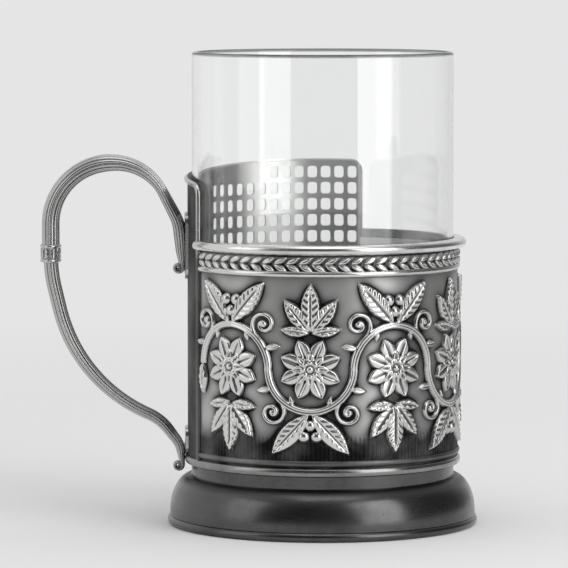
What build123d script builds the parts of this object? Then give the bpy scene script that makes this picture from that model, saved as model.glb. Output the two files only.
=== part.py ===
"""Tea glass holder in embossed sheet metal, with its looped handle and its clear tea glass.

Frame: the origin is on the cup's axis, in the plane that the foot stands on, +Z up, with the
handle towards -X. Azimuths are degrees from +X, anticlockwise seen from above, so the embossed
front is around 270 and the pierced heat guard runs from behind the cup to the handle.
"""
import math
import os

from build123d import *

# Tea glass
GLASS_DIAMETER = 67.0
GLASS_HEIGHT = 107.0
GLASS_WALL = 1.4
GLASS_FLOOR = 4.0
GLASS_HEEL = 8.0            # rounding of the outer bottom edge
GLASS_FIT = 0.25            # room between glass and sleeve, on the radius
HEEL_CLEARANCE = 0.35       # room between the glass heel and the foot's collar

# Sheet metal and how it is joined
SHEET = 0.9
SOLDER_GAP = 0.04
SEAM_GAP = 0.1
CUT_ROOM = 1.0              # how far a cutting solid reaches past what it cuts

# Foot
FOOT_DIAMETER = 78.4
BASE_RING_LEDGE = 0.6       # how far the base ring stands out from under the foot
BASE_RING_HEIGHT = 2.4
BASE_RING_WIDTH = 5.6
BASE_RING_EDGE = 0.9
EDGE_LIMIT = 0.45           # largest rounding of an edge, as a share of the thickness there
FOOT_STRAIGHT = 1.1         # upright part of the dome above the base ring
DOME_HEIGHT = 9.1
NECK_HEIGHT = 3.2
COLLAR_LAP = 2.4            # how far the collar reaches into the sleeve
SEAT_THICKNESS = 1.2
SEAT_HUB_DIAMETER = 15.0
SEAT_RIM_WIDTH = 5.5
SEAT_SPOKE_WIDTH = 5.0
SEAT_SPOKES = 6

# Sleeve
SLEEVE_HEIGHT = 55.6
TOP_RIM_HEIGHT = 2.35
TOP_RIM_PROUD = 2.2
LOWER_RING_HEIGHT = 2.1
LOWER_RING_PROUD = 0.7
UPPER_BORDER_INSET = 4.8    # border rib below the frieze, from the panel's top edge
LOWER_BORDER_INSET = 3.4    # border rib above the lower ring, from the panel's bottom edge
BORDER_WIDTH = 1.5
BORDER_PROUD = 0.6
MOULDING_EDGE = 0.15        # flat edge of a half-round moulding beside its back

# Running scroll embossed on the front panel: a row of cells, each a rosette with a stem round it
CELLS = 6
RELIEF_PROUD = 1.1
RELIEF_END_MARGIN = 3.0     # plain strip at the panel's two upright edges
RELIEF_FIELD_MARGIN = 1.2   # plain strip beside the border ribs
PETALS = 8
PETAL_START = 1.8
PETAL_LENGTH = 6.4
PETAL_WIDTH = 4.6
CORE_DIAMETER = 5.2
CORE_PROUD = 1.7
STEM_THICKNESS = 2.0
LEAF_START = 8.9            # from the rosette's middle to the foot of the big leaf
LEAF_LOBES = ((0, 1.0), (38, 0.86), (-38, 0.86), (82, 0.62), (-82, 0.62))   # turn, share of the leaf
LOBE_SLIMNESS = 0.42
SIDE_LEAF_LEAN = 42
SIDE_LEAF_SLIMNESS = 0.38
BERRY_DIAMETER = 3.2
BERRY_SINK = 0.3
BERRY_START = 2.4           # from the stem's edge to the middle of the first berry

# Heat guard
GUARD_START = 72.0          # azimuth of the far edge
GUARD_END = 205.2           # azimuth of the near edge
GUARD_RISE = 17.5           # height above the sleeve's edge, beside the handle
GUARD_SLOPE = 0.08          # rise of the guard's top per unit towards the back
GUARD_CORNER = 2.8
EDGING_WIDTH = 1.3
EDGING_OVERHANG = 0.45
EDGING_PROUD = 0.8
HOLE_WIDTH = 2.7
HOLE_HEIGHT = 3.1
HOLE_CORNER = 0.8
HOLE_PITCH = 3.7            # along the wall
HOLE_ROW_PITCH = 4.25
HOLE_MARGIN = 1.0           # from the far edge to the first column
HOLE_TOP_MARGIN = 1.5       # from the guard's highest point, at the back, to the first row
HOLE_LEAST_MARGIN = 1.2     # holes that would come nearer to the sloping top are left out
HOLE_COLUMNS = 13
HOLE_ROWS = 16

# Handle, in the plane y = 0
HANDLE_REACH = 35.1         # centre line of the outer run, from the sleeve's wall
CREST_ABOVE_RIM = 21.3      # centre line of the crest above the sleeve's edge
CREST_INNER = 10.25         # corner of the crest nearer the cup, from the wall
BEND_ABOVE_RIM = 5.8        # where the upper tang leaves the wall
TANG_BELOW_RIM = 5.6        # lower end of the upper tang
SPLIT_BELOW_RIM = 1.9       # where bow and stem meet inside the collar
KNEE_BELOW_RIM = 6.9        # where the outer run starts to lean in
ELBOW_INSET = 6.75          # how much nearer the cup the elbow is than the outer run
ELBOW_RISE = 20.6           # above the sleeve's lower edge
WRIST_REACH = 6.95          # from the wall
WRIST_RISE = 10.8
ROOT_RISE = 4.4             # where the lower tang leaves the wall
LOWER_TANG_DROP = 1.0       # lower end of the lower tang, below the sleeve's edge
BOW_RADII = (12.0, 14.2, 15.8)
STEM_RADII = (36.0, 39.5, 13.0, 6.0)
BEND_LIMIT = 0.99           # largest share of a straight run that the bends at its ends may take
BOW_DEPTH = 4.6
BOW_WIDTH = 7.6
STEM_DEPTH = 3.8
STEM_WIDTH = 6.4
FLUTES = 12
FLUTE_DEPTH = 0.35
COLLAR_LENGTH = 4.6
COLLAR_WALL = 0.45
SCROLL_DIAMETER = 3.6
SCROLL_TRIM = 0.9           # how much narrower a scroll is than its bar, at each side
TANG_BITE = 1.05            # depth of the wall's curve cut into the tangs
SADDLE_THICKNESS = 0.7
SADDLE_BORDER = 1.2         # saddle shown around the tang
SADDLE_CORNER_LIMIT = 0.35  # rounding of a saddle's corners, as a share of its shorter side
UPPER_SADDLE_HEIGHT = 17.0
LOWER_SADDLE_HEIGHT = 7.0
RIVET_DIAMETER = 1.8
RIVET_HEAD_DIAMETER = 3.0
RIVET_FIT = 0.05
RIVET_REACH = 1.6           # into the tang
UPPER_RIVETS = 2
UPPER_RIVET_SPACING = 4.6
LOWER_RIVET_RISE = 1.75     # above the lower saddle's bottom edge

# Sizes worked out from those above
glass_r = GLASS_DIAMETER / 2
foot_r = FOOT_DIAMETER / 2
base_r = foot_r + BASE_RING_LEDGE
sleeve_in = glass_r + GLASS_FIT
sleeve_out = sleeve_in + SHEET
collar_out = sleeve_in - SOLDER_GAP
collar_in = collar_out - SHEET
dome_bottom = BASE_RING_HEIGHT + FOOT_STRAIGHT
dome_top = dome_bottom + DOME_HEIGHT
sleeve_bottom = dome_top + NECK_HEIGHT
sleeve_top = sleeve_bottom + SLEEVE_HEIGHT
collar_top = sleeve_bottom + COLLAR_LAP
upper_border = sleeve_top - UPPER_BORDER_INSET
lower_border = sleeve_bottom + LOWER_BORDER_INSET
field_middle = (upper_border + lower_border) / 2
half_field = (upper_border - lower_border - BORDER_WIDTH) / 2 - RELIEF_FIELD_MARGIN
heel_run = collar_in - HEEL_CLEARANCE - (glass_r - GLASS_HEEL)
heel_rise = GLASS_HEEL - math.sqrt(GLASS_HEEL**2 - heel_run**2)
seat_top = collar_top - heel_rise
guard_top = sleeve_top + GUARD_RISE
wall_out = sleeve_out + SOLDER_GAP
saddle_out = wall_out + SADDLE_THICKNESS
tang_face = saddle_out + SOLDER_GAP
upper_tang_x = -(tang_face - TANG_BITE + BOW_DEPTH / 2)
lower_tang_x = -(tang_face - TANG_BITE + STEM_DEPTH / 2)
outer_run_x = -(sleeve_out + HANDLE_REACH)
crest_inner_x = -(sleeve_out + CREST_INNER)
elbow_x = outer_run_x + ELBOW_INSET
wrist_x = -(sleeve_out + WRIST_REACH)
upper_rivet_middle = sleeve_top + (BEND_ABOVE_RIM - TANG_BELOW_RIM) / 2
lower_saddle_bottom = sleeve_bottom + LOWER_RING_HEIGHT
upper_rivet_low = upper_rivet_middle - (UPPER_RIVETS - 1) / 2 * UPPER_RIVET_SPACING
upper_rivet_heights = [upper_rivet_low + index * UPPER_RIVET_SPACING for index in range(UPPER_RIVETS)]
lower_rivet_heights = [lower_saddle_bottom + LOWER_RIVET_RISE]


def degrees_along(length, radius):
    """Angle that an arc of this length takes on a circle of this radius."""
    return math.degrees(length / radius)


def tube_part(inner, outer, bottom, top, start=0.0, end=360.0):
    """Part of an upright tube wall between two azimuths."""
    profile = Pos((inner + outer) / 2, (bottom + top) / 2) * Rectangle(outer - inner, top - bottom)
    return Rot(0, 0, start) * revolve(Plane.XZ * profile, Axis.Z, end - start)


def half_round_ring(inner, outer, bottom, top, start=0.0, end=360.0):
    """Moulding with a flat back and a round front, turned about the cup's axis."""
    middle = (bottom + top) / 2
    shoulder = max(inner + MOULDING_EDGE, outer - (top - bottom) / 2)
    with BuildSketch(Plane.XZ) as profile:
        with BuildLine():
            front = ThreePointArc((shoulder, bottom), (outer, middle), (shoulder, top))
            Polyline(front @ 1, (inner, top), (inner, bottom), front @ 0)
        make_face()
    return Rot(0, 0, start) * revolve(profile.sketch, Axis.Z, end - start)


def at_wall(radius, azimuth, height):
    """Place on the wall, looking outwards, with x running along the wall and y up."""
    angle = math.radians(azimuth)
    outwards = (math.cos(angle), math.sin(angle), 0)
    along = (-math.sin(angle), math.cos(angle), 0)
    point = (radius * outwards[0], radius * outwards[1], height)
    return Plane(origin=point, x_dir=along, z_dir=outwards).location


def guard_blank(inner, outer, bottom, grow, corner):
    """Guard outline, larger all round by grow, with its sloping top and two round corners."""
    spread = degrees_along(grow, sleeve_out)
    high = guard_top + grow + GUARD_SLOPE * outer + CUT_ROOM
    wall = tube_part(inner, outer, bottom, high, GUARD_START - spread, GUARD_END + spread)
    slope = Plane(origin=(0, 0, guard_top + grow), z_dir=(0, -GUARD_SLOPE, 1))
    wall = split(wall, bisect_by=slope, keep=Keep.BOTTOM)
    corners = [
        edge
        for edge in wall.edges().filter_by(GeomType.LINE)
        if edge.center().Z > sleeve_top and edge.length < 2 * (outer - inner)
    ]
    return fillet(corners, corner)


def rivet(height, play=0.0):
    """Countersunk rivet along -X, flush inside the sleeve; play widens it into its hole."""
    inside = sleeve_in + SOLDER_GAP - play
    head = (RIVET_HEAD_DIAMETER - RIVET_DIAMETER) / 2
    length = tang_face + RIVET_REACH + play - inside
    shank = Cylinder(RIVET_DIAMETER / 2 + play, length, align=(Align.CENTER, Align.CENTER, Align.MIN))
    cone = Cone(
        RIVET_HEAD_DIAMETER / 2 + play,
        RIVET_DIAMETER / 2 + play,
        head,
        align=(Align.CENTER, Align.CENTER, Align.MIN),
    )
    return at_wall(inside, 180, height) * (shank + cone)


def rivet_holes():
    """Solids that clear every rivet."""
    return [rivet(height, RIVET_FIT) for height in upper_rivet_heights + lower_rivet_heights]


def tea_glass():
    """Straight tumbler with a round heel inside and out, and a fire-rounded lip."""
    inner = glass_r - GLASS_WALL
    inner_heel = GLASS_HEEL - GLASS_WALL
    top = seat_top + GLASS_HEIGHT
    lip = top - GLASS_WALL / 2
    with BuildSketch(Plane.XZ) as profile:
        with BuildLine():
            base = Line((0, seat_top), (glass_r - GLASS_HEEL, seat_top))
            heel = RadiusArc(base @ 1, (glass_r, seat_top + GLASS_HEEL), -GLASS_HEEL)
            side = Line(heel @ 1, (glass_r, lip))
            edge = ThreePointArc(side @ 1, (glass_r - GLASS_WALL / 2, top), (inner, lip))
            inside = Line(edge @ 1, (inner, seat_top + GLASS_FLOOR + inner_heel))
            turn = RadiusArc(inside @ 1, (inner - inner_heel, seat_top + GLASS_FLOOR), inner_heel)
            Polyline(turn @ 1, (0, seat_top + GLASS_FLOOR), base @ 0)
        make_face()
    return revolve(profile.sketch, Axis.Z)


def base_ring():
    """Flat ring that the holder stands on, with a rounded outer edge."""
    ring = tube_part(base_r - BASE_RING_WIDTH, base_r, 0, BASE_RING_HEIGHT)
    rims = ring.edges().filter_by(GeomType.CIRCLE).group_by(SortBy.RADIUS)[-1]
    return fillet(rims, min(BASE_RING_EDGE, BASE_RING_HEIGHT * EDGE_LIMIT))


def foot_shell():
    """Spun bell: upright edge, quarter-ellipse dome, neck and the collar inside the sleeve."""
    reach = foot_r - collar_out
    with BuildSketch(Plane.XZ) as profile:
        with BuildLine():
            skirt = Line((foot_r, BASE_RING_HEIGHT), (foot_r, dome_bottom))
            dome = EllipticalCenterArc((collar_out, dome_bottom), reach, DOME_HEIGHT, 0, arc_size=90)
            collar = Polyline(
                dome @ 1,
                (collar_out, collar_top),
                (collar_in, collar_top),
                (collar_in, dome_top - SHEET),
                (collar_out, dome_top - SHEET),
            )
            hollow = EllipticalCenterArc(
                (collar_out, dome_bottom), reach - SHEET, DOME_HEIGHT - SHEET, 0, arc_size=90
            )
            Polyline(hollow @ 0, (foot_r - SHEET, BASE_RING_HEIGHT), skirt @ 0)
        make_face()
    return revolve(profile.sketch, Axis.Z)


def seat_plate():
    """Spoked plate in the collar that the glass stands on."""
    radius = collar_in - SOLDER_GAP
    hub = SEAT_HUB_DIAMETER / 2
    ring = radius - SEAT_RIM_WIDTH
    window = Circle(ring) - Circle(hub)
    for index in range(SEAT_SPOKES):
        spoke = Pos(radius / 2, 0) * Rectangle(radius, SEAT_SPOKE_WIDTH)
        window -= Rot(0, 0, index * 360 / SEAT_SPOKES) * spoke
    plate = Circle(radius) - window
    return extrude(Pos(0, 0, seat_top - SEAT_THICKNESS) * plate, SEAT_THICKNESS)


def leaf_blade(length, slimness, turn=0.0):
    """Pointed leaf between two arcs, growing from the origin, turned from upright."""
    half = length * slimness / 2
    with BuildSketch() as blade:
        with BuildLine():
            ThreePointArc((0, 0), (half, length / 2), (0, length))
            ThreePointArc((0, length), (-half, length / 2), (0, 0))
        make_face()
    return Rot(0, 0, turn) * blade.sketch


def scroll_cell(pitch):
    """One cell with its stem passing over the rosette, flat in x and y, and its berry places."""
    stem_r = sleeve_out * math.sin(math.radians(pitch / 2))
    outer = stem_r + STEM_THICKNESS / 2
    stem = Circle(outer) - Circle(stem_r - STEM_THICKNESS / 2)
    stem -= Pos(0, -outer) * Rectangle(2 * outer, 2 * outer)
    petal = Pos(0, PETAL_START) * leaf_blade(PETAL_LENGTH, PETAL_WIDTH / PETAL_LENGTH)
    flat = stem + Circle(CORE_DIAMETER / 2)
    for index in range(PETALS):
        flat += Rot(0, 0, (index + 0.5) * 360 / PETALS) * petal
    leaf_length = half_field - LEAF_START
    for turn, share in LEAF_LOBES:
        flat += Pos(0, -LEAF_START) * leaf_blade(leaf_length * share, LOBE_SLIMNESS, 180 + turn)
    side_length = (half_field - stem_r) / math.cos(math.radians(SIDE_LEAF_LEAN))
    for turn in (SIDE_LEAF_LEAN, -SIDE_LEAF_LEAN):
        flat += Pos(0, stem_r) * leaf_blade(side_length, SIDE_LEAF_SLIMNESS, turn)
    lowest = outer + BERRY_START
    pair = lowest + BERRY_DIAMETER * math.cos(math.radians(30))
    berries = [(0, lowest), (BERRY_DIAMETER / 2, pair), (-BERRY_DIAMETER / 2, pair)]
    return flat, berries


def relief_cell(pitch, side):
    """Solid of one cell around azimuth 0; side is 1 for a stem above the rosette, -1 below it."""
    flat, berries = scroll_cell(pitch)
    upright = at_wall(0, 0, field_middle) * Rot(0, 0, 0 if side > 0 else 180)
    back = sleeve_out - SHEET / 2
    cell = upright * extrude(flat, 2 * sleeve_out)
    cell &= tube_part(back, sleeve_out + RELIEF_PROUD, sleeve_bottom, sleeve_top, -pitch, pitch)
    core_r = CORE_DIAMETER / 2
    cell += upright * Pos(0, 0, sleeve_out + CORE_PROUD - core_r) * Sphere(core_r)
    depth = sleeve_out - BERRY_SINK
    for x, y in berries:
        cell += upright * Pos(x, y, math.sqrt(depth**2 - x**2)) * Sphere(BERRY_DIAMETER / 2)
    return cell & tube_part(back, 2 * sleeve_out, sleeve_bottom, sleeve_top, -pitch, pitch)


def relief_panel():
    """Embossed front sheet with its two border ribs and the running scroll between them."""
    seam = degrees_along(SEAM_GAP, sleeve_out)
    start = GUARD_END + seam
    end = GUARD_START + 360 - seam
    panel = tube_part(sleeve_in, sleeve_out, sleeve_bottom, sleeve_top, start, end)
    cover = degrees_along(EDGING_OVERHANG + SEAM_GAP, sleeve_out)
    back = sleeve_out - SHEET / 2
    for middle in (lower_border, upper_border):
        low = middle - BORDER_WIDTH / 2
        high = middle + BORDER_WIDTH / 2
        panel += half_round_ring(
            back, sleeve_out + BORDER_PROUD, low, high, GUARD_END + cover, GUARD_START + 360 - cover
        )
    margin = degrees_along(RELIEF_END_MARGIN, sleeve_out)
    pitch = (end - start - 2 * margin) / CELLS
    shapes = [relief_cell(pitch, 1), relief_cell(pitch, -1)]
    for index in range(CELLS):
        panel += Rot(0, 0, start + margin + (index + 0.5) * pitch) * shapes[index % 2]
    return panel


def hole_places():
    """Azimuth and height of each hole's middle, row by row below the guard's sloping top."""
    first = GUARD_START + degrees_along(HOLE_MARGIN + HOLE_WIDTH / 2, sleeve_out)
    step = degrees_along(HOLE_PITCH, sleeve_out)
    top_row = guard_top + GUARD_SLOPE * sleeve_out - HOLE_TOP_MARGIN - HOLE_HEIGHT / 2
    places = []
    for row in range(HOLE_ROWS):
        for column in range(HOLE_COLUMNS):
            azimuth = first + column * step
            height = top_row - row * HOLE_ROW_PITCH
            edge = guard_top + GUARD_SLOPE * sleeve_out * math.sin(math.radians(azimuth))
            if edge - height - HOLE_HEIGHT / 2 >= HOLE_LEAST_MARGIN:
                places.append((azimuth, height))
    return places


def guard_panel():
    """Taller sheet behind the cup and under the handle, pierced by a grid of holes."""
    panel = guard_blank(sleeve_in, sleeve_out, sleeve_bottom, 0.0, GUARD_CORNER)
    hole = RectangleRounded(HOLE_WIDTH, HOLE_HEIGHT, HOLE_CORNER)
    punch = extrude(hole, SHEET / 2 + CUT_ROOM, both=True)
    middle = (sleeve_in + sleeve_out) / 2
    holes = [at_wall(middle, azimuth, height) * punch for azimuth, height in hole_places()]
    return panel - holes - rivet_holes()


def guard_edging():
    """Strip soldered outside along the guard's two upright edges and its top."""
    bottom = sleeve_bottom + LOWER_RING_HEIGHT
    inset = EDGING_OVERHANG - EDGING_WIDTH
    outside = wall_out + EDGING_PROUD
    strip = guard_blank(wall_out, outside, bottom, EDGING_OVERHANG, GUARD_CORNER + EDGING_OVERHANG)
    window = guard_blank(
        wall_out - SHEET, outside + SHEET, bottom - SHEET, inset, GUARD_CORNER + inset
    )
    return strip - window


def top_rim_ring():
    """Half-round moulding on the top edge of the embossed panel."""
    ends = degrees_along(EDGING_OVERHANG + SEAM_GAP, sleeve_out)
    return half_round_ring(
        sleeve_in,
        sleeve_out + TOP_RIM_PROUD,
        sleeve_top,
        sleeve_top + TOP_RIM_HEIGHT,
        GUARD_END + ends,
        GUARD_START + 360 - ends,
    )


def lower_ring():
    """Half-round moulding round the bottom of the sleeve."""
    return half_round_ring(
        wall_out, wall_out + LOWER_RING_PROUD, sleeve_bottom, sleeve_bottom + LOWER_RING_HEIGHT
    )


def fluted_section(depth, width):
    """Oval of the given size whose outline is a row of small round reeds."""
    step = 2 * math.pi / FLUTES
    valley_x = width / 2 - FLUTE_DEPTH
    valley_y = depth / 2 - FLUTE_DEPTH
    with BuildSketch() as section:
        with BuildLine():
            for index in range(FLUTES):
                a, b, c = (index * step, (index + 0.5) * step, (index + 1) * step)
                ThreePointArc(
                    (valley_x * math.cos(a), valley_y * math.sin(a)),
                    (width / 2 * math.cos(b), depth / 2 * math.sin(b)),
                    (valley_x * math.cos(c), valley_y * math.sin(c)),
                )
        make_face()
    return section.sketch


def bend_radii(points, radii):
    """Radii of a path's bends, made smaller together where a run between two bends is too short."""
    runs = [Vector(*after) - Vector(*before) for before, after in zip(points, points[1:])]
    turns = [before.get_angle(after) for before, after in zip(runs, runs[1:])]
    taken = [radius * math.tan(math.radians(turn) / 2) for radius, turn in zip(radii, turns)]
    ends = zip([0.0] + taken, taken + [0.0])
    room = [min(1.0, BEND_LIMIT * run.length / sum(pair)) for run, pair in zip(runs, ends)]
    return [radius * min(pair) for radius, pair in zip(radii, zip(room, room[1:]))]


def bar_along(points, radii, depth, width):
    """Fluted bar swept along straight runs joined by arcs, in the plane y = 0."""
    path = FilletPolyline(*[(x, 0, z) for x, z in points], radius=bend_radii(points, radii))
    start = Plane(origin=path @ 0, x_dir=(0, 1, 0), z_dir=path % 0)
    return sweep(start * fluted_section(depth, width), path=path)


def scroll_end(x, z, width):
    """Small rolled end across the bar."""
    return Pos(x, 0, z) * Rot(90, 0, 0) * Cylinder(SCROLL_DIAMETER / 2, width - 2 * SCROLL_TRIM)


def wall_cutter(bottom, top):
    """What a tang has to clear so that it lies on its saddle."""
    core = Cylinder(tang_face, top - bottom, align=(Align.CENTER, Align.CENTER, Align.MIN))
    return Pos(0, 0, bottom) * core


def handle_bow():
    """Upper bar: tang on the guard, rise, crest and the start of the outer run."""
    tang_low = sleeve_top - TANG_BELOW_RIM
    crest = sleeve_top + CREST_ABOVE_RIM
    points = [
        (upper_tang_x, tang_low),
        (upper_tang_x, sleeve_top + BEND_ABOVE_RIM),
        (crest_inner_x, crest),
        (outer_run_x, crest),
        (outer_run_x, sleeve_top - SPLIT_BELOW_RIM),
    ]
    bow = bar_along(points, BOW_RADII, BOW_DEPTH, BOW_WIDTH)
    bow += scroll_end(upper_tang_x, tang_low, BOW_WIDTH)
    bow -= wall_cutter(sleeve_bottom, guard_top + CREST_ABOVE_RIM)
    return bow - rivet_holes()


def handle_stem():
    """Lower bar: from the collar down and back to the foot of the sleeve."""
    tang_low = sleeve_bottom - LOWER_TANG_DROP
    points = [
        (outer_run_x, sleeve_top - SPLIT_BELOW_RIM),
        (outer_run_x, sleeve_top - KNEE_BELOW_RIM),
        (elbow_x, sleeve_bottom + ELBOW_RISE),
        (wrist_x, sleeve_bottom + WRIST_RISE),
        (lower_tang_x, sleeve_bottom + ROOT_RISE),
        (lower_tang_x, tang_low),
    ]
    stem = bar_along(points, STEM_RADII, STEM_DEPTH, STEM_WIDTH)
    stem += scroll_end(lower_tang_x, tang_low, STEM_WIDTH)
    stem -= wall_cutter(0, sleeve_top)
    return stem - rivet_holes()


def handle_collar():
    """Ferrule over the joint of bow and stem, bored to the size of each."""
    joint = sleeve_top - SPLIT_BELOW_RIM
    place = Pos(outer_run_x, 0, joint)
    half = COLLAR_LENGTH / 2
    bow_hole = Ellipse(BOW_DEPTH / 2 + SOLDER_GAP, BOW_WIDTH / 2 + SOLDER_GAP)
    stem_hole = Ellipse(STEM_DEPTH / 2 + SOLDER_GAP, STEM_WIDTH / 2 + SOLDER_GAP)
    body = Ellipse(BOW_DEPTH / 2 + COLLAR_WALL, BOW_WIDTH / 2 + COLLAR_WALL)
    upper = extrude(body - bow_hole, half)
    lower = extrude(body - stem_hole, -half)
    return place * (upper + lower)


def saddle(bottom, top, width):
    """Curved plate between the guard and a tang, with round ends."""
    middle = (bottom + top) / 2
    corner = min(width, top - bottom) * SADDLE_CORNER_LIMIT
    outline = RectangleRounded(width + 2 * SADDLE_BORDER, top - bottom, corner)
    block = at_wall(0, 180, middle) * extrude(outline, 2 * saddle_out)
    plate = block & tube_part(wall_out, saddle_out, bottom - CUT_ROOM, top + CUT_ROOM)
    return plate - rivet_holes()


def upper_saddle():
    """Saddle of the upper tang."""
    bottom = upper_rivet_middle - UPPER_SADDLE_HEIGHT / 2
    return saddle(bottom, bottom + UPPER_SADDLE_HEIGHT, BOW_WIDTH)


def lower_saddle():
    """Saddle of the lower tang, standing on the lower ring."""
    return saddle(lower_saddle_bottom, lower_saddle_bottom + LOWER_SADDLE_HEIGHT, STEM_WIDTH)


def rivet_row(heights):
    """Rivets at these heights, as separate solids."""
    return Compound(children=[Part() + rivet(height) for height in heights])


PIECES = {
    "tea_glass": tea_glass,
    "base_ring": base_ring,
    "foot_shell": foot_shell,
    "seat_plate": seat_plate,
    "relief_panel": relief_panel,
    "guard_panel": guard_panel,
    "guard_edging": guard_edging,
    "top_rim_ring": top_rim_ring,
    "lower_ring": lower_ring,
    "handle_bow": handle_bow,
    "handle_collar": handle_collar,
    "handle_stem": handle_stem,
    "upper_saddle": upper_saddle,
    "lower_saddle": lower_saddle,
    "upper_rivets": lambda: rivet_row(upper_rivet_heights),
    "lower_rivet": lambda: rivet_row(lower_rivet_heights),
}

os.makedirs("parts", exist_ok=True)
for name, make in PIECES.items():
    export_step(make(), f"parts/{name}.step")
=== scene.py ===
import math

import bpy
import numpy as np
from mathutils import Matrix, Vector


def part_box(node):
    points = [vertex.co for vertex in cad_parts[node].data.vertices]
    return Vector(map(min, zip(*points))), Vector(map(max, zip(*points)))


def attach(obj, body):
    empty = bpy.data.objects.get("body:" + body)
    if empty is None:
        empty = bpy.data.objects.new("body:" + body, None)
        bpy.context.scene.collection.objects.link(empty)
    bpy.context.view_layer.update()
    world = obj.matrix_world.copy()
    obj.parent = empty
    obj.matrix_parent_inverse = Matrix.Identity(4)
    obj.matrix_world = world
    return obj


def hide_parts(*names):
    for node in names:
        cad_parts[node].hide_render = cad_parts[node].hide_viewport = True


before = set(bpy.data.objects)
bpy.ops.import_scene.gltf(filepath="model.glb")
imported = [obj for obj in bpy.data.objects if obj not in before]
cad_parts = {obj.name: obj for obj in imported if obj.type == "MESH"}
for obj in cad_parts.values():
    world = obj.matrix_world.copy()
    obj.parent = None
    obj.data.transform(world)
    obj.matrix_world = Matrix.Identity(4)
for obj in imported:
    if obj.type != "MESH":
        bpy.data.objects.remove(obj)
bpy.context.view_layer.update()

# Sizes are millimetres and angles degrees; meshes are written in metres, and the stage is given in metres.
MM = 0.001


def node_box(node):
    """Lowest and highest corner of a CAD node, in millimetres."""
    low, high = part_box(node)
    return np.array(low) / MM, np.array(high) / MM


panel_low, panel_high = node_box("relief_panel")
guard_low = node_box("guard_panel")[0]
glass_low, glass_high = node_box("tea_glass")
foot_high = node_box("foot_shell")[1]
base_low, base_high = node_box("base_ring")
rim_low, rim_high = node_box("top_rim_ring")
lower_ring_low, lower_ring_high = node_box("lower_ring")
collar_low, collar_high = node_box("handle_collar")

# Tea glass; a stay is an extra ring of points that keeps a wall straight beside a rounding, and the
# centre hole is the radius of the small face that closes each floor
GLASS_WALL = 1.4
GLASS_FLOOR = 4.0
GLASS_HEEL = 8.0
GLASS_STEPS = 256
HEEL_POINTS = 24
LIP_POINTS = 12
STAY = 0.15
CENTRE_HOLE = 0.01
GLASS_TINT = (0.985, 0.99, 0.988)
GLASS_IOR = 1.5
# The lip's colour is painted shade, standing in for the dark line that refraction draws along the rounded
# lip
LIP_PAINTED_SHADE = (0.26, 0.27, 0.265)
LIP_SHADE_SPAN = (1.0, 0.6)

# Sleeve
SLEEVE_BOTTOM = panel_low[2]
SLEEVE_TOP = panel_high[2]
WALL = -guard_low[0]
SHEET = 0.9
SLEEVE_IN = WALL - SHEET
SOLDER_GAP = 0.04
SEAM_GAP = 0.1

# Rim, lower ring, foot and base ring
RIM_STEPS = 260
TURN_STEPS = 300
MOULDING_EDGE = 0.15
MOULDING_POINTS = 16
FOOT_EDGE = 1.1
FOOT_CREASE = 50.0
DOME_RISE = 9.1
DOME_POINTS = 40
# Painted shade at the top of the foot's dome, in place of the overhead lamp's reflection there
SHOULDER = (-2.5, -0.5)
SHOULDER_PAINTED_SHADE = 0.65
BASE_WIDTH = 5.6
BASE_BULGE = 1.15
BASE_POINTS = 18

# Heat guard
GUARD_START = 72.0
GUARD_END = 205.2
GUARD_TOP = SLEEVE_TOP + 17.5
GUARD_SLOPE = 0.08
GUARD_CORNER = 2.8
HOLE_WIDTH = 2.7
HOLE_HEIGHT = 3.1
HOLE_CORNER = 0.8
HOLE_PITCH = 3.7
HOLE_ROW_PITCH = 4.25
HOLE_MARGIN = 1.0
HOLE_TOP_MARGIN = 1.5
HOLE_LEAST_MARGIN = 1.2
HOLE_COLUMNS = 13
HOLE_ROWS = 16
HOLE_RINGS = 3
CELL_SPLIT = 6
PLAIN_COLUMNS = 11
PLAIN_ROWS = 2
SETTLE_ROOM = 0.2
SETTLE_DROP = 6.0
SETTLE_COLUMNS = (0, 3)
ROW_LESS_COLUMNS = (0, 0.5)
MERGE_SCALE = 1e4
MERGE_SHIFT = 0.137
TINY = 1e-9

# Darkening of the guard: outside it grows towards the seam; inside it is painted shade towards both ends of
# the pierced field. A shade is the span over which it comes or goes, in degrees from the seam or in columns
# from an end of the pierced field
GUARD_OUTER_DARKENING = (0.49, 0.89)
SEAM_SHADE = (-40, -20)
HANDLE_SIDE_PAINTED_SHADE = 0.92
HANDLE_SIDE_SHADE = (-5.5, -2.5)
FREE_END_PAINTED_SHADE = 0.63
FREE_END_SHADE = (3.5, 5.5)

# Edging of the guard
EDGING_WIDTH = 1.3
EDGING_OVERHANG = 0.45
EDGING_PROUD = 0.8
EDGING_ROUNDNESS = 0.8
EDGING_POINTS = 12
CORNER_POINTS = 14
TOP_POINTS = 120
UPRIGHT_POINTS = 30
# The strip is darker below the top of the sleeve
EDGING_LOW_DARKENING = 0.75
EDGING_SHADE = (1, -3)

# Embossed front
PANEL_PARTS = 3
PART_COLUMNS = 300
PANEL_ROWS = 308
RELIEF_CREASE = 85.0
UPPER_BORDER = SLEEVE_TOP - 4.8
LOWER_BORDER = SLEEVE_BOTTOM + 3.4
BORDER_WIDTH = 1.5
BORDER_PROUD = 0.6
FIELD_MARGIN = 1.2
RELIEF_END_MARGIN = 3.0
CELLS = 6
CELL_REACH = 60
HATCH_HEIGHT = 9.5
HATCH_FADE = 0.8
HATCH_PITCH = 1.1
HATCH_DEPTH = 0.12
LAUREL_PITCH = 3.3
LAUREL_LEAN = 25
LAUREL_DROP = 0.7

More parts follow.
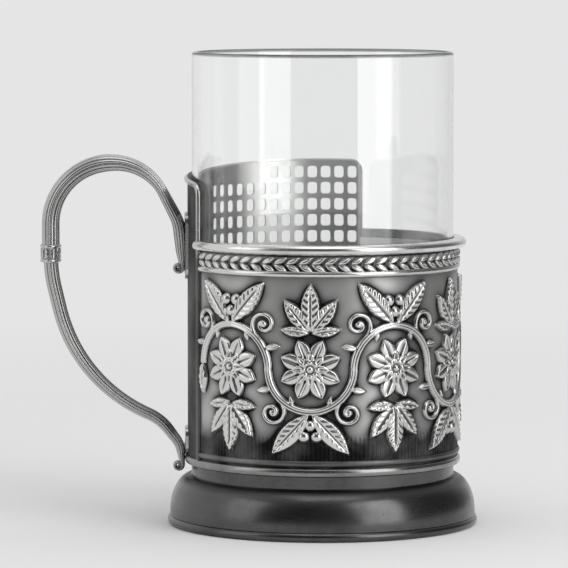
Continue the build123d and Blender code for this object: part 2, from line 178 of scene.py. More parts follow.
# Leaves of the relief, as (length, slimness, height) where they have one size; lobes are (turn, share of
# the length) and leaflets (place on the stem, turn, length)
PETAL = (6.4, 4.6 / 6.4, 1.0)
INNER_PETAL = (4.9, 0.62, 1.3)
LAUREL_LEAF = (4.3, 0.46, 0.75)
END_LEAF = (9.0, 0.4, 1.1)
END_LEAF_RISE = 1.0
LEAF_START = 8.9
LEAF_LOBES = ((0, 1.0), (38, 0.86), (-38, 0.86), (82, 0.62), (-82, 0.62))
LOBE_SLIMNESS = 0.42
LOBE_PROUD = 1.2
SIDE_LEAF_LEAN = 42
SIDE_LEAF_SLIMNESS = 0.38
SIDE_LEAF_PROUD = 1.1
LEAFLETS = ((62, 82, 4.6), (-62, -82, 4.6), (24, 166, 3.4), (-24, 194, 3.4))
LEAFLET_SLIMNESS = 0.5
LEAFLET_PROUD = 0.9
LEAF_WALL = 0.7
LEAF_CROWN = 0.28
LEAST_HALF = 0.01
MIDRIB_HALF = 0.3
MIDRIB_DEPTH = 0.32
MIDRIB_FADE = (0.97, 0.7)
VEIN_PITCH = 1.7
VEIN_SLANT = 0.9
VEIN_DEPTH = 0.09
VEIN_FADE = (0.1, 0.35)

# Rosettes, stem, berries and curls of the scroll; a curl starts at an angle in radians
PETALS = 8
PETAL_START = 1.8
CORE_RADIUS = 2.6
CORE_PROUD = 0.75
CORE_EDGE = (0.5, -0.2)
CORE_KNOB = 1.0
CORE_BEADS = 8
CORE_BEAD_RADIUS = 0.78
CORE_BEAD_INSET = 0.85
CORE_LIFT = 0.7
STEM_HALF = 1.0
STEM_PROUD = 1.05
STEM_GROOVE_HALF = 0.2
STEM_GROOVE_DEPTH = 0.28
BERRY_RADIUS = 1.6
BERRY_SINK = 0.3
BERRY_SPACE = 1.5
CURL_PLACE = (9.6, 11.0)
CURL_RADIUS = 3.3
CURL_TURNS = 1.62
CURL_START = 0.5
CURL_HALF = 0.55
CURL_PROUD = 0.8
CURL_KNOB = 0.9
CURL_SINK = 0.1

# Patina and painted shade of the embossed front
HOLLOW_SPREAD = 0.65
HOLLOW_DEPTH = 0.24
GROUND_EDGE = (0.3, 0.1)
GROUND_TARNISH = 0.36
GROUND_LIMIT = 0.97
NEAR_SPREAD = 1.3
NEAR_HEIGHT = 0.35
NEAR_TARNISH = 0.55
LOW_SHADE = (1.5, 0.5)
LOW_TARNISH = 0.75
# Painted shade on the ground just under the rim
UNDER_RIM_SHADE = (-1.6, -0.2)
UNDER_RIM_PAINTED_SHADE = 0.95
LOWER_RIB_TARNISH = 0.8
# Painted shade over the key lamp's side of the front, toning down its reflection
KEY_SIDE_SPAN = (292, 308)
KEY_SIDE_PAINTED_SHADE = 0.24
BLUR_REACH = 2.5

# Handle; the sizes of a bar are (share of its length, size)
OUTER_RUN_X = -(WALL + 35.1)
CREST = SLEEVE_TOP + 21.3
CREST_INNER_X = -(WALL + 10.25)
BEND = SLEEVE_TOP + 5.8
UPPER_TANG_X = -36.8
UPPER_TANG_LOW = SLEEVE_TOP - 5.6
SPLIT = SLEEVE_TOP - 1.9
KNEE = SLEEVE_TOP - 6.9
ELBOW = (OUTER_RUN_X + 6.75, SLEEVE_BOTTOM + 20.6)
WRIST = (-(WALL + 6.95), SLEEVE_BOTTOM + 10.8)
LOWER_TANG_X = -36.7
ROOT = SLEEVE_BOTTOM + 4.4
LOWER_TANG_LOW = SLEEVE_BOTTOM - 1.0
BOW_RADII = (12.0, 14.2, 15.8)
STEM_RADII = (6.0, 13.0, 39.5, 36.0)
ROUTE_SPACING = 0.5
BEND_LEAST_POINTS = 4
BOW_DEPTHS = (
    (0, 1.5), (0.06, 2.9), (0.13, 3.4), (0.22, 3.1), (0.32, 2.8), (0.43, 3.6), (0.56, 4.6), (1, 4.6),
)
BOW_WIDTHS = ((0, 5.6), (0.14, 7.0), (0.4, 7.4), (1, 7.5))
STEM_DEPTHS = ((0, 1.2), (0.06, 2.4), (0.15, 2.9), (0.3, 3.1), (0.7, 3.7), (1, 3.8))
STEM_WIDTHS = ((0, 4.8), (0.3, 5.6), (1, 6.3))
UPPER_ROLL_X = -35.9
LOWER_ROLL_X = -36.0
ROLL_RADIUS = 1.15
ROLL_TURNS = 1.3
ROLL_FALL = 0.75
ROLL_TIP = 0.45
ROLL_POINTS = 60
REEDS = 12
REED_DEPTH = 0.35
REED_POINTS = 12
# Grooves are blackened as patina; the heavier darkening on the inner side and the dark inner edge are
# painted shade
GROOVE_EDGE = (0.45, 0.95)
OUTER_GROOVE_TARNISH = 0.3
INNER_SIDE = (-0.1, 0.4)
INNER_EDGE = (0.75, 1.0)
INNER_EDGE_PAINTED_SHADE = 0.6

# Ferrule of the handle
FERRULE_DEPTH = 4.6
FERRULE_WIDTH = 7.6
FERRULE_STEPS = 160
FERRULE_BAND = 0.12
BAND_POINTS = 10
BEAD_HEIGHT = 0.9
BEAD_POINTS = 9
TIPS = 14
TIP_PROUD = 0.22
TIP_EDGE = (-0.15, 0.15)
FERRULE_TARNISH = 0.7

# Wear of the nickel; the scratches are turned in radians
SCRATCH_TURN = (0.3, 0.5, 0.9)
SCRATCH_STRETCH = (1.0, 1.0, 14.0)
SCRATCH_HEIGHT = 0.35
SCRATCH_ROUGHNESS = 0.07
RAGGED_SHARE = 0.5
DARK_ROUGHNESS = 0.28
BUMP_DISTANCE = 0.4

# Photograph
IMAGE_SIZE = 568
FOCAL_PIXELS = 4215.0
CAMERA_BACK = 1079.0
CAMERA_HEIGHT = 148.5
CAMERA_SIDE = -9.9
CAMERA_PITCH = 4.61
SENSOR = 36.0

# Stage, in metres; the edges are where the surround's tones change, along a direction of length 1
FLOOR_TONE = 0.91
FLOOR_ROUGHNESS = 0.9
FLOOR_FADE = (0.25, 0.6)
FLOOR_STEPS = 96
BACKDROP_TONE = 0.785
SURROUND_TONE = 0.745
DOME_TONE = 0.74
THROUGH_TONE = 0.82
FRONT_TONE = 0.07
FRONT_EDGE = (-0.8, 0.1)
RIGHT_TONE = 0.15
RIGHT_EDGE = (0.3, 0.8)
AIM_HEIGHT = 0.06
VIEW_DEPTH = 50


# Mesh helpers

def smooth_step(value, span, origin=0.0, unit=1.0):
    """Cubic step from 0 to 1 over a span, up or down, that is counted in units from an origin."""
    t = np.clip(((value - origin) / unit - span[0]) / (span[1] - span[0]), 0, 1)
    return t * t * (3 - 2 * t)


def degrees_along(length, radius):
    """Angle that an arc of this length takes on a circle of this radius."""
    return np.degrees(length / radius)


def polar(radius, azimuth, height):
    """Points at a radius, an azimuth in degrees and a height."""
    angle = np.radians(azimuth)
    radius, angle, height = np.broadcast_arrays(radius, angle, height)
    return np.stack([radius * np.cos(angle), radius * np.sin(angle), height], -1)


def arc(centre, size, start, end, count):
    """Points (across, up) of an ellipse with these half axes, from one angle to another in degrees."""
    turn = np.radians(np.linspace(start, end, count))
    return np.stack([centre[0] + size[0] * np.cos(turn), centre[1] + size[1] * np.sin(turn)], -1)


def half_round(inner, outer, bottom, top, bulge=math.inf, count=MOULDING_POINTS):
    """Moulding profile: flat back, flat edges and an elliptic front, no deeper than half its height."""
    half = (top - bottom) / 2
    bulge = min(bulge, half, outer - inner - MOULDING_EDGE)
    front = arc((outer - bulge, bottom + half), (bulge, half), -90, 90, count)
    return np.concatenate([[[inner, bottom]], front, [[inner, top]]])


def grid_quads(rows, columns, first=0, close_rows=False, close_columns=False):
    """Quads of a rows by columns grid of points, row by row from index first; closing joins the ends."""
    i = np.arange(rows if close_rows else rows - 1)
    j = np.arange(columns if close_columns else columns - 1)
    i, j = np.meshgrid(i, j, indexing="ij")
    here = i * columns
    below = (i + 1) % rows * columns
    right = (j + 1) % columns
    return np.stack([here + j, below + j, below + right, here + right], -1).reshape(-1, 4) + first


def end_caps(count, size):
    """Flat faces over the first and the last of count rings of size points."""
    return [list(range(size)), list(range((count - 1) * size, count * size))[::-1]]


def lathe(profile, steps, start=0.0, end=360.0):
    """Closed profile of (radius, height) turned about the axis; a part turn gets flat end caps."""
    full = end - start == 360
    count = steps if full else steps + 1
    azimuth = start + (end - start) * np.arange(count)[:, None] / steps
    points = polar(profile[:, 0], azimuth, profile[:, 1]).reshape(-1, 3)
    faces = grid_quads(count, len(profile), close_rows=full, close_columns=True).tolist()
    if not full:
        faces += end_caps(count, len(profile))
    return points, faces


def sweep(centre, across, outwards, side, out):
    """Section carried along a path, with flat end caps.

    Its points lie at centre plus side times the across direction plus out times the outwards direction.
    """
    points = centre[:, None] + side[..., None] * across[:, None] + out[..., None] * outwards[:, None]
    count, size = points.shape[:2]
    faces = grid_quads(count, size, close_columns=True).tolist() + end_caps(count, size)
    return points.reshape(-1, 3), faces


def put_piece(name, replaced, slot, material, points, faces, body="holder", crease=40.0):
    """Mesh in the place of a CAD node, from points and corner indices, smooth up to the crease angle."""
    mesh = bpy.data.meshes.new(name)
    mesh.from_pydata((points.reshape(-1, 3) * MM).tolist(), [], faces)
    mesh.validate()
    mesh.polygons.foreach_set("use_smooth", np.ones(len(mesh.polygons), bool))
    mesh.set_sharp_from_angle(angle=math.radians(crease))
    mesh.materials.append(material)
    piece = bpy.data.objects.new(name, mesh)
    bpy.context.scene.collection.objects.link(piece)
    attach(piece, body)
    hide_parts(replaced)
    return piece


def set_patina_and_shade(piece, values):
    """Stores the darkening, 0 to 1 per vertex, as a mesh attribute: patina, and painted shade where a piece
    puts it.
    """
    layer = piece.data.attributes.new("patina_and_shade", "FLOAT", "POINT")
    layer.data.foreach_set("value", np.clip(values, 0, 1).astype(np.float32).ravel())


# Materials

def new_group(name, inputs, outputs):
    """Shader node group with sockets given as label: kind; returns it with its input and output nodes."""
    group = bpy.data.node_groups.new(name, "ShaderNodeTree")
    for way, sockets in (("INPUT", inputs), ("OUTPUT", outputs)):
        for label, kind in sockets.items():
            group.interface.new_socket(label, in_out=way, socket_type=kind)
    return group, group.nodes.new("NodeGroupInput"), group.nodes.new("NodeGroupOutput")


def new_material(name):
    """Material with nodes; returns it with its node tree and its Principled shader."""
    material = bpy.data.materials.new(name)
    material.use_nodes = True
    return material, material.node_tree, material.node_tree.nodes["Principled BSDF"]


def feed(tree, made, inputs):
    """Fills the labelled inputs of a node: an output is linked, a number, vector or (r, g, b) is set."""
    for label, value in inputs.items():
        socket = made.inputs[label]
        if isinstance(value, bpy.types.NodeSocket):
            tree.links.new(value, socket)
        else:
            socket.default_value = (*value, 1.0) if socket.type == "RGBA" else value


def node(tree, kind, inputs=None, **settings):
    """New node with the given properties set and its inputs fed."""
    made = tree.nodes.new(kind)
    for key, value in settings.items():
        setattr(made, key, value)
    feed(tree, made, inputs or {})
    return made


def noise(tree, vector, scale, detail, roughness=0.55):
    """Noise texture on a vector."""
    inputs = {"Vector": vector, "Scale": scale, "Detail": detail, "Roughness": roughness}
    return node(tree, "ShaderNodeTexNoise", inputs).outputs["Fac"]


def ramp(tree, value, low, high, out_low=0.0, out_high=1.0):
    """Clamped straight ramp from low..high to out_low..out_high."""
    inputs = {"Value": value, "From Min": low, "From Max": high, "To Min": out_low, "To Max": out_high}
    return node(tree, "ShaderNodeMapRange", inputs, clamp=True).outputs["Result"]


def arithmetic(tree, operation, *values):
    """Math node on outputs or numbers."""
    return node(tree, "ShaderNodeMath", dict(enumerate(values)), operation=operation).outputs[0]


def mix(tree, kind, factor, first, second):
    """Mix node of kind FLOAT or RGBA, from first where the factor is 0 to second where it is 1."""
    inputs = {"Factor": factor, "A": first, "B": second}
    return node(tree, "ShaderNodeMix", inputs, data_type=kind).outputs["Result"]


def separate(tree, vector):
    """The outputs X, Y and Z of a vector."""
    return node(tree, "ShaderNodeSeparateXYZ", {"Vector": vector}).outputs


def nickel_wear_group():
    """Worn nickel plate: cloudy tarnish, fine scratches and darkening from an input of patina and painted
    shade.

    Colour goes from Bright towards Dark with that darkening and with tarnish; roughness rises with both;
    Height is the scratches and faint unevenness for a bump.
    """
    colour, value = "NodeSocketColor", "NodeSocketFloat"
    group, entry, leave = new_group(
        "nickel_wear",
        {"Bright": colour, "Dark": colour, "PatinaAndShade": value, "Tarnish": value, "Gloss": value},
        {"Colour": colour, "Roughness": value, "Height": value},
    )
    given = entry.outputs
    place = node(group, "ShaderNodeTexCoord").outputs["Object"]
    inputs = {"Vector": place, "Rotation": SCRATCH_TURN, "Scale": SCRATCH_STRETCH}
    stretched = node(group, "ShaderNodeMapping", inputs).outputs["Vector"]
    clouds = noise(group, place, scale=90.0, detail=4.0)
    specks = noise(group, place, scale=900.0, detail=2.0)
    scratches = noise(group, stretched, scale=260.0, detail=2.0, roughness=0.7)
    cloud_mask = ramp(group, clouds, low=0.42, high=0.72)
    speck_mask = ramp(group, specks, low=0.62, high=0.8)
    scratch_mask = ramp(group, scratches, low=0.5, high=0.75)
    patches = arithmetic(group, "MAXIMUM", cloud_mask, speck_mask)
    stain = arithmetic(group, "MULTIPLY", patches, given["Tarnish"])
    ragged = arithmetic(group, "MULTIPLY_ADD", clouds, RAGGED_SHARE, -RAGGED_SHARE / 2)
    patina_and_shade = arithmetic(group, "MULTIPLY_ADD", ragged, given["PatinaAndShade"], given["PatinaAndShade"])
    mask = ramp(group, arithmetic(group, "MAXIMUM", patina_and_shade, stain), low=0.0, high=1.0)
    rough = arithmetic(group, "MULTIPLY_ADD", mask, DARK_ROUGHNESS, given["Gloss"])
    rough = arithmetic(group, "MULTIPLY_ADD", scratch_mask, SCRATCH_ROUGHNESS, rough)
    height = arithmetic(group, "MULTIPLY_ADD", scratches, SCRATCH_HEIGHT, clouds)
    worn = mix(group, "RGBA", mask, given["Bright"], given["Dark"])
    feed(group, leave, {"Colour": worn, "Roughness": rough, "Height": height})
    return group


def nickel(name, bright, gloss, tarnish, dark=(0.03, 0.03, 0.03), bump=0.04, patina_and_shade_mapped=False):
    """Nickel-plated metal; where it is darkened, a mesh attribute says how much: patina, and painted shade
    on some pieces.
    """
    material, tree, shader = new_material(name)
    inputs = {"Bright": bright, "Dark": dark, "Gloss": gloss, "Tarnish": tarnish}
    if patina_and_shade_mapped:
        inputs["PatinaAndShade"] = node(tree, "ShaderNodeAttribute", attribute_name="patina_and_shade").outputs["Fac"]
    wear = node(tree, "ShaderNodeGroup", inputs, node_tree=NICKEL_WEAR).outputs
    inputs = {"Strength": bump, "Distance": BUMP_DISTANCE * MM, "Height": wear["Height"]}
    uneven = node(tree, "ShaderNodeBump", inputs).outputs["Normal"]
    feed(tree, shader, {"Metallic": 1.0, "Base Color": wear["Colour"]})
    feed(tree, shader, {"Roughness": wear["Roughness"], "Normal": uneven})
    return material


def clear_glass():
    """Clear polished glass with faint wiping marks in its gloss, and painted shade on its fire-rounded lip.
    """
    material, tree, shader = new_material("clear_glass")
    place = node(tree, "ShaderNodeTexCoord").outputs["Object"]
    marks = noise(tree, place, scale=45.0, detail=3.0)
    # Painted shade towards the top of the lip
    lip = ramp(tree, separate(tree, place)["Z"], *((glass_high[2] - np.array(LIP_SHADE_SPAN)) * MM))
    colour = mix(tree, "RGBA", lip, GLASS_TINT, LIP_PAINTED_SHADE)
    rough = ramp(tree, marks, low=0.5, high=0.8, out_high=0.03)
    feed(tree, shader, {"Transmission Weight": 1.0, "IOR": GLASS_IOR})
    feed(tree, shader, {"Base Color": colour, "Roughness": rough})
    return material


NICKEL_WEAR = nickel_wear_group()
# Relief nickel: patina in its hollows, and painted shade where the relief's darkening map puts it
RELIEF_METAL = nickel(
    "antique_nickel", bright=(0.74, 0.74, 0.73), gloss=0.18, tarnish=0.1,
    dark=(0.012, 0.012, 0.013), bump=0.012, patina_and_shade_mapped=True,
)
POLISHED_METAL = nickel("polished_nickel", bright=(0.8, 0.8, 0.79), gloss=0.18, tarnish=0.35)
MOULDING_METAL = nickel(
    "moulding_nickel", bright=(0.3, 0.3, 0.295), gloss=0.2, tarnish=0.4, dark=(0.02, 0.02, 0.02)
)
# Satin inside of the front; its colour, paler than the outside's nickel, is painted light on the shaded
# inside
INSIDE_PAINTED_LIGHT_METAL = nickel(
    "inside_nickel_painted_light", bright=(0.9, 0.9, 0.89), gloss=0.5, tarnish=0.15, dark=(0.1, 0.1, 0.1)
)
GUARD_METAL = nickel("guard_nickel", bright=(0.66, 0.66, 0.65), gloss=0.45, tarnish=0.25, patina_and_shade_mapped=True)
EDGING_METAL = nickel("edging_nickel", bright=(0.55, 0.55, 0.54), gloss=0.2, tarnish=0.3, patina_and_shade_mapped=True)
FOOT_METAL = nickel(
    "dark_nickel", bright=(0.118, 0.118, 0.117), gloss=0.22, tarnish=0.35,
    dark=(0.02, 0.02, 0.02), patina_and_shade_mapped=True,
)
HANDLE_METAL = nickel(
    "handle_nickel", bright=(0.54, 0.54, 0.535), gloss=0.24, tarnish=0.1,
    dark=(0.01, 0.01, 0.011), bump=0.004, patina_and_shade_mapped=True,
)
PLAIN_METAL = nickel(
    "plain_nickel", bright=(0.38, 0.38, 0.37), gloss=0.3, tarnish=0.35, dark=(0.05, 0.05, 0.05)
)
GLASS = clear_glass()


# Embossed front

def leaf_height(x, y, foot, turn, length, slimness, height, ribs=VEIN_DEPTH):
    """Pointed leaf from foot, turned from upright: a crowned blade with a midrib groove and side veins.

    Along is 0 to 1 from foot to tip. The half width follows along * (1 - along), the wall rises over
    LEAF_WALL from the outline, and the veins are a wave of along less the distance from the midrib.
    """
    angle = math.radians(turn)
    dx, dy = x - foot[0], y - foot[1]
    along = (-dx * math.sin(angle) + dy * math.cos(angle)) / length
    side = np.abs(dx * math.cos(angle) + dy * math.sin(angle))
    half = length * slimness * 2 * along * (1 - along)
    wall = smooth_step(half - side, (0, LEAF_WALL)) * (half > 0)
    across = np.clip(side / np.maximum(half, LEAST_HALF), 0, 1)
    crown = 1 - LEAF_CROWN + LEAF_CROWN * np.sqrt(1 - across**2)
    groove = MIDRIB_DEPTH * np.exp(-((side / MIDRIB_HALF) ** 2)) * smooth_step(along, MIDRIB_FADE)
    wave = np.cos(2 * np.pi * (along * length - VEIN_SLANT * side) / VEIN_PITCH)
    return height * wall * (crown - groove + ribs * wave * smooth_step(across, VEIN_FADE))


def ball_height(x, y, centre, radius, lift):
    """Upper half of a ball whose middle is lift above the ground; nothing beside it."""
    reach = radius**2 - (x - centre[0]) ** 2 - (y - centre[1]) ** 2
    return np.where(reach > 0, np.maximum(np.sqrt(np.maximum(reach, 0)) + lift, 0), 0)


def from_upright(length, turn):
    """Point at a distance from the origin, in a direction turned from upright."""
    return -length * math.sin(math.radians(turn)), length * math.cos(math.radians(turn))


def rosette_height(x, y):
    """Two rings of petals, the inner one turned by half a petal, about a core of beads."""
    core = CORE_PROUD * smooth_step(np.hypot(x, y), CORE_EDGE, CORE_RADIUS)
    forms = [core, ball_height(x, y, (0, 0), CORE_KNOB, CORE_LIFT)]
    for index in range(CORE_BEADS):
        bead = from_upright(CORE_RADIUS - CORE_BEAD_INSET, index * 360 / CORE_BEADS)
        forms.append(ball_height(x, y, bead, CORE_BEAD_RADIUS, CORE_LIFT))
    step = 360 / PETALS
    for index in range(PETALS):
        turn = (index + 0.5) * step
        forms.append(leaf_height(x, y, from_upright(PETAL_START, turn), turn, *PETAL, ribs=0.0))
        forms.append(leaf_height(x, y, (0, 0), index * step, *INNER_PETAL, ribs=0.0))
    return np.maximum.reduce(forms)


def curl_height(x, y, centre, hand):
    """Tendril rolled into a spiral whose radius grows evenly with its angle; hand is its sense of turn."""
    dx, dy = hand * (x - centre[0]), y - centre[1]
    reach = np.hypot(dx, dy)
    turn = np.arctan2(dy, dx)
    rise = CURL_RADIUS / (2 * np.pi * CURL_TURNS)
    count = np.round((reach / rise - turn) / (2 * np.pi))
    full = turn + 2 * np.pi * count
    off = np.abs(reach - rise * full)
    inside = (full > CURL_START) & (full < 2 * np.pi * CURL_TURNS)
    tube = np.sqrt(np.maximum(1 - (off / CURL_HALF) ** 2, 0))
    knob = ball_height(dx, dy, (0, 0), CURL_KNOB, -CURL_SINK)
    return np.maximum(np.where(inside, CURL_PROUD * tube, 0), knob)


def cell_height(x, y, stem_r, half_field):
    """One cell of the running scroll, with its stem above the rosette."""
    from_stem = np.abs(np.hypot(x, y) - stem_r)
    stem = STEM_PROUD * np.sqrt(np.maximum(1 - (from_stem / STEM_HALF) ** 2, 0))
    stem -= STEM_GROOVE_DEPTH * np.exp(-((from_stem / STEM_GROOVE_HALF) ** 2))
    forms = [rosette_height(x, y), np.where((y >= 0) & (from_stem < STEM_HALF), stem, 0)]
    for turn, share in LEAF_LOBES:
        length = (half_field - LEAF_START) * share
        forms.append(leaf_height(x, y, (0, -LEAF_START), 180 + turn, length, LOBE_SLIMNESS, LOBE_PROUD))
    length = (half_field - stem_r) / math.cos(math.radians(SIDE_LEAF_LEAN))
    for turn in (SIDE_LEAF_LEAN, -SIDE_LEAF_LEAN):
        forms.append(leaf_height(x, y, (0, stem_r), turn, length, SIDE_LEAF_SLIMNESS, SIDE_LEAF_PROUD))
    lowest = stem_r + STEM_HALF + BERRY_SPACE * BERRY_RADIUS
    pair = lowest + math.sqrt(3) * BERRY_RADIUS
    for centre in ((0, lowest), (BERRY_RADIUS, pair), (-BERRY_RADIUS, pair)):
        forms.append(ball_height(x, y, centre, BERRY_RADIUS, -BERRY_SINK))
    for hand in (1, -1):
        forms.append(curl_height(x, y, (hand * CURL_PLACE[0], CURL_PLACE[1]), hand))
    for place, turn, length in LEAFLETS:
        foot = from_upright(stem_r, place)
        leaflet = leaf_height(x, y, foot, turn, length, LEAFLET_SLIMNESS, LEAFLET_PROUD, ribs=0.0)
        forms.append(np.where(y >= 0, leaflet, 0))
    return np.maximum.reduce(forms)


def frieze_height(along, z, length):
    """Row of laurel: pairs of leaves that lean up and down from a common foot."""
    laurel_line = (SLEEVE_TOP - LAUREL_DROP + UPPER_BORDER + BORDER_WIDTH / 2) / 2
    step = length / round(length / LAUREL_PITCH)
    beside = np.mod(along, step)
    return np.maximum.reduce([
        leaf_height(beside, z, (foot, laurel_line), lean - 90, *LAUREL_LEAF, ribs=0.0)
        for foot in (-step, 0)
        for lean in (LAUREL_LEAN, -LAUREL_LEAN)
    ])


def panel_heights(azimuth, z, start, end):
    """Relief over the panel: laurel under the rim, border ribs, the running scroll and its ground.

    The ground is plain, but hatched in a strip along the bottom. Every second cell is upside down.
    """
    middle = (UPPER_BORDER + LOWER_BORDER) / 2
    half_field = (UPPER_BORDER - LOWER_BORDER - BORDER_WIDTH) / 2 - FIELD_MARGIN
    margin = degrees_along(RELIEF_END_MARGIN, WALL)
    pitch = (end - start - 2 * margin) / CELLS
    stem_r = WALL * math.sin(math.radians(pitch / 2))
    hatch = HATCH_DEPTH * np.cos(2 * np.pi * np.radians(azimuth) * WALL / HATCH_PITCH)
    low = smooth_step(z, (HATCH_FADE, 0), SLEEVE_BOTTOM + HATCH_HEIGHT)
    forms = [np.zeros_like(z), hatch * low * (z > LOWER_BORDER)]
    for index in range(CELLS):
        upright = 1 if index % 2 == 0 else -1
        centre = start + margin + (index + 0.5) * pitch
        beside = np.clip(azimuth - centre, -CELL_REACH, CELL_REACH)
        x, y = upright * WALL * np.sin(np.radians(beside)), upright * (z - middle)
        forms.append(cell_height(x, y, stem_r, half_field))
        if index in (0, CELLS - 1):
            forms.append(leaf_height(x, y, (-stem_r, END_LEAF_RISE), 180, *END_LEAF))
    forms.append(frieze_height(np.radians(azimuth - start) * WALL, z, np.radians(end - start) * WALL))
    for centre in (LOWER_BORDER, UPPER_BORDER):
        off = np.abs(z - centre) / (BORDER_WIDTH / 2)
        forms.append(BORDER_PROUD * np.sqrt(np.maximum(1 - off**2, 0)))
    return np.maximum.reduce(forms)


def blur(values, spread):
    """Bell-curve averaging along both directions of a grid, with one spread in steps for each."""
    for axis, sigma in enumerate(spread):
        reach = int(BLUR_REACH * sigma) + 1
        offsets = np.arange(-reach, reach + 1)
        weights = np.exp(-((offsets / sigma) ** 2) / 2)
        weights /= weights.sum()
        padded = np.pad(values, [(reach, reach) if k == axis else (0, 0) for k in (0, 1)], mode="edge")
        places = np.arange(values.shape[axis])
        values = sum(w * np.take(padded, places + k, axis=axis) for k, w in enumerate(weights))
    return values


def relief_patina_and_shade(azimuth, z, height, steps):
    """Patina and painted shade of the embossed front, from relief heights on a grid with these steps.

    Patina follows the hollows of the relief, the ground near raised forms and in the strip at the bottom,
    and the lower rib; painted shade darkens the ground under the rim, and the key lamp's side, toning down
    its reflection.
    """
    hollow = np.clip((blur(height, HOLLOW_SPREAD / steps) - height) / HOLLOW_DEPTH, 0, 1)
    ground = smooth_step(height, GROUND_EDGE)
    near = np.clip(blur(height, NEAR_SPREAD / steps) / NEAR_HEIGHT, 0, 1)
    low = smooth_step(z, LOW_SHADE, SLEEVE_BOTTOM, HATCH_HEIGHT)
    # Painted shade under the rim
    under_rim_shade = UNDER_RIM_PAINTED_SHADE * smooth_step(z, UNDER_RIM_SHADE, SLEEVE_TOP)
    ground_tone = np.clip(GROUND_TARNISH + NEAR_TARNISH * near + LOW_TARNISH * low, 0, GROUND_LIMIT)
    lower_rib = LOWER_RIB_TARNISH * (np.abs(z - LOWER_BORDER) < BORDER_WIDTH / 2)
    patina_and_shade = np.maximum.reduce([hollow, ground * ground_tone, ground * under_rim_shade, lower_rib])
    # Painted shade over the key lamp's side
    return patina_and_shade + KEY_SIDE_PAINTED_SHADE * smooth_step(azimuth, KEY_SIDE_SPAN) * (1 - patina_and_shade)


def relief_panel():
    """Sheet whose outer radius is WALL plus the relief at each azimuth and height; the inside is plain."""
    seam = degrees_along(SEAM_GAP, WALL)
    start, end = GUARD_END + seam, GUARD_START + 360 - seam
    columns = np.linspace(start, end, PANEL_PARTS * PART_COLUMNS + 1)
    rows = np.linspace(SLEEVE_BOTTOM, SLEEVE_TOP, PANEL_ROWS + 1)
    azimuth, z = np.meshgrid(columns, rows, indexing="ij")
    height = panel_heights(azimuth, z, start, end)
    steps = np.array([np.radians(columns[1] - columns[0]) * WALL, rows[1] - rows[0]])
    patina_and_shade = relief_patina_and_shade(azimuth, z, height, steps)
    for part in range(PANEL_PARTS):
        span = slice(part * PART_COLUMNS, (part + 1) * PART_COLUMNS + 1)
        panel_part(f"embossed_front_{part + 1}", azimuth[span], z[span], height[span], patina_and_shade[span])


def panel_part(name, azimuth, z, height, patina_and_shade):
    """One upright strip of the embossed sheet as a closed mesh.

    Each column of points goes up the relief and ends with two points on the plain inside, top and bottom.
    """
    columns, rows = azimuth.shape
    inside = polar(SLEEVE_IN, azimuth[:, [-1, 0]], z[:, [-1, 0]])
    points = np.concatenate([polar(WALL + height, azimuth, z), inside], axis=1)
    quads = grid_quads(columns, rows + 2, close_columns=True)
    faces = quads.tolist() + end_caps(columns, rows + 2)
    piece = put_piece(
        name, "relief_panel", "antique_nickel", RELIEF_METAL, points, faces, crease=RELIEF_CREASE
    )
    set_patina_and_shade(piece, np.concatenate([patina_and_shade, np.zeros((columns, 2))], axis=1))
    # The inside faces get the paler satin nickel, partly painted light
    finish = np.zeros(len(faces), np.int32)
    finish[rows:len(quads):rows + 2] = 1
    piece.data.materials.append(INSIDE_PAINTED_LIGHT_METAL)
    piece.data.polygons.foreach_set("material_index", finish)


# Plain turned pieces

def foot_profile():
    """Upright edge, quarter-ellipse dome and collar outside; the same, one sheet further in, inside."""
    outer, bottom = foot_high[0], base_high[2]
    collar_out = SLEEVE_IN - SOLDER_GAP
    centre = (collar_out, bottom + FOOT_EDGE)
    reach = outer - collar_out
    dome = arc(centre, (reach, DOME_RISE), 0, 90, DOME_POINTS)
    hollow = arc(centre, (reach - SHEET, DOME_RISE - SHEET), 90, 0, DOME_POINTS)
    collar_top = [
        [collar_out, foot_high[2]],
        [collar_out - SHEET, foot_high[2]],
        [collar_out - SHEET, hollow[0, 1]],
    ]
    return np.concatenate([[[outer, bottom]], dome, collar_top, hollow, [[outer - SHEET, bottom]]])


def turned_pieces():
    """Rim, lower ring, foot and base ring, each a profile turned about the cup's axis."""
    ends = degrees_along(EDGING_OVERHANG + SEAM_GAP, WALL)
    profile = half_round(SLEEVE_IN, -rim_low[1], rim_low[2], rim_high[2])
    rim = lathe(profile, RIM_STEPS, GUARD_END + ends, GUARD_START + 360 - ends)
    put_piece("top_rim", "top_rim_ring", "polished_nickel", POLISHED_METAL, *rim)
    profile = half_round(WALL + SOLDER_GAP, lower_ring_high[0], lower_ring_low[2], lower_ring_high[2])
    ring = lathe(profile, TURN_STEPS)
    put_piece("lower_moulding", "lower_ring", "polished_nickel", MOULDING_METAL, *ring)
    points, faces = lathe(foot_profile(), TURN_STEPS)
    bell = put_piece("foot_bell", "foot_shell", "dark_nickel", FOOT_METAL, points, faces, crease=FOOT_CREASE)
    dome_top = base_high[2] + FOOT_EDGE + DOME_RISE
    # Painted shade near the top of the dome
    shoulder = smooth_step(points[:, 2], SHOULDER, dome_top)
    on_dome = np.hypot(points[:, 0], points[:, 1]) > SLEEVE_IN
    set_patina_and_shade(bell, SHOULDER_PAINTED_SHADE * shoulder * on_dome)
    outer = base_high[0]
    profile = half_round(outer - BASE_WIDTH, outer, base_low[2], base_high[2], BASE_BULGE, BASE_POINTS)
    put_piece("foot_ring", "base_ring", "dark_nickel", FOOT_METAL, *lathe(profile, TURN_STEPS))


